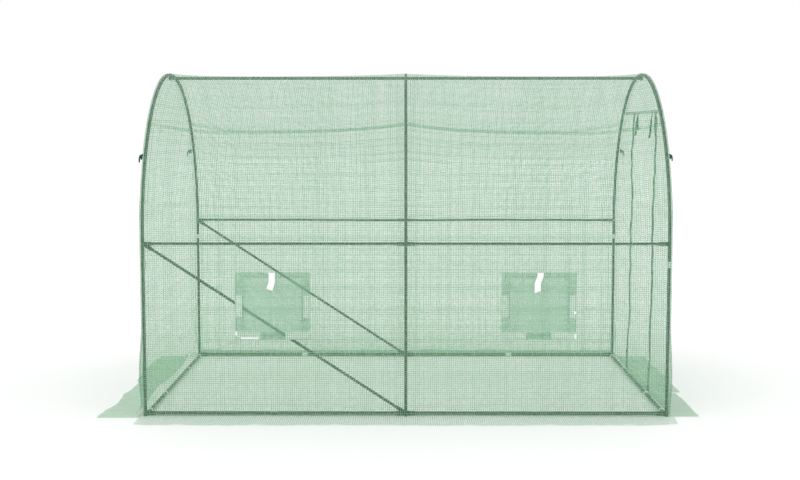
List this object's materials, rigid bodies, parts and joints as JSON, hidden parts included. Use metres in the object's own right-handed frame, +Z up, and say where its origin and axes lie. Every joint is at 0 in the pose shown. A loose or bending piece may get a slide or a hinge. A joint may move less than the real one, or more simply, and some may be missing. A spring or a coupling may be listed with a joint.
{
  "type": "polytunnel greenhouse",
  "caption": "Walk-in polytunnel greenhouse: arched tube frame under a translucent green film cover with a zipped door at one end, flap windows along the front and ground skirts.",
  "frame": {"origin": "on the ground, at the middle of the tunnel's footprint", "axes": "+X along the tunnel towards the door end; -Y the front side with the windows; +Z up"},
  "size_m": [3.563, 2.4526, 2.0013],
  "materials": {
    "frame_tube": "satin dark green powder coat",
    "cover_film": "translucent pale green film with a fine woven reinforcing grid",
    "plain_film": "translucent pale green film",
    "flap_film": "semi-matte green film",
    "insect_net": "fine green netting",
    "white_webbing": "matte white woven tape",
    "pale_webbing": "matte pale green hook-and-loop strap",
    "zip": "green coil zip on woven tape",
    "dark_tape": "dark green woven tape"
  },
  "bodies": {
    "root": {"left_hoop_front_leg": "frame_tube", "left_hoop_front_upper": "frame_tube", "left_hoop_back_leg": "frame_tube", "left_hoop_back_upper": "frame_tube", "middle_hoop_front_leg": "frame_tube", "middle_hoop_front_upper": "frame_tube", "middle_hoop_back_leg": "frame_tube", "middle_hoop_back_upper": "frame_tube", "right_hoop_front_leg": "frame_tube", "right_hoop_front_upper": "frame_tube", "right_hoop_back_leg": "frame_tube", "right_hoop_back_upper": "frame_tube", "back_base_rail_left": "frame_tube", "back_base_rail_right": "frame_tube", "front_base_rail_left": "frame_tube", "front_base_rail_right": "frame_tube", "left_end_base_rail": "frame_tube", "right_end_base_rail": "frame_tube", "ridge_purlin_left": "frame_tube", "ridge_purlin_right": "frame_tube", "front_side_rail_left": "frame_tube", "front_side_rail_right": "frame_tube", "back_side_rail_left": "frame_tube", "back_side_rail_right": "frame_tube", "front_brace": "frame_tube", "back_brace": "frame_tube", "front_side_panel": "cover_film", "back_side_panel": "cover_film", "roof_panel": "cover_film", "left_end_wall": "cover_film", "right_wall_front": "cover_film", "right_wall_back": "cover_film", "right_wall_top": "cover_film", "door_panel": "cover_film", "front_skirt": "cover_film", "back_skirt": "cover_film", "left_skirt": "plain_film", "right_skirt": "plain_film", "window_flaps": "flap_film", "window_screens": "insect_net", "window_straps": "white_webbing", "cover_ties": "pale_webbing", "door_zips": "zip", "door_ties": "dark_tape", "hoop_ties": "dark_tape"}
  },
  "joints": []
}
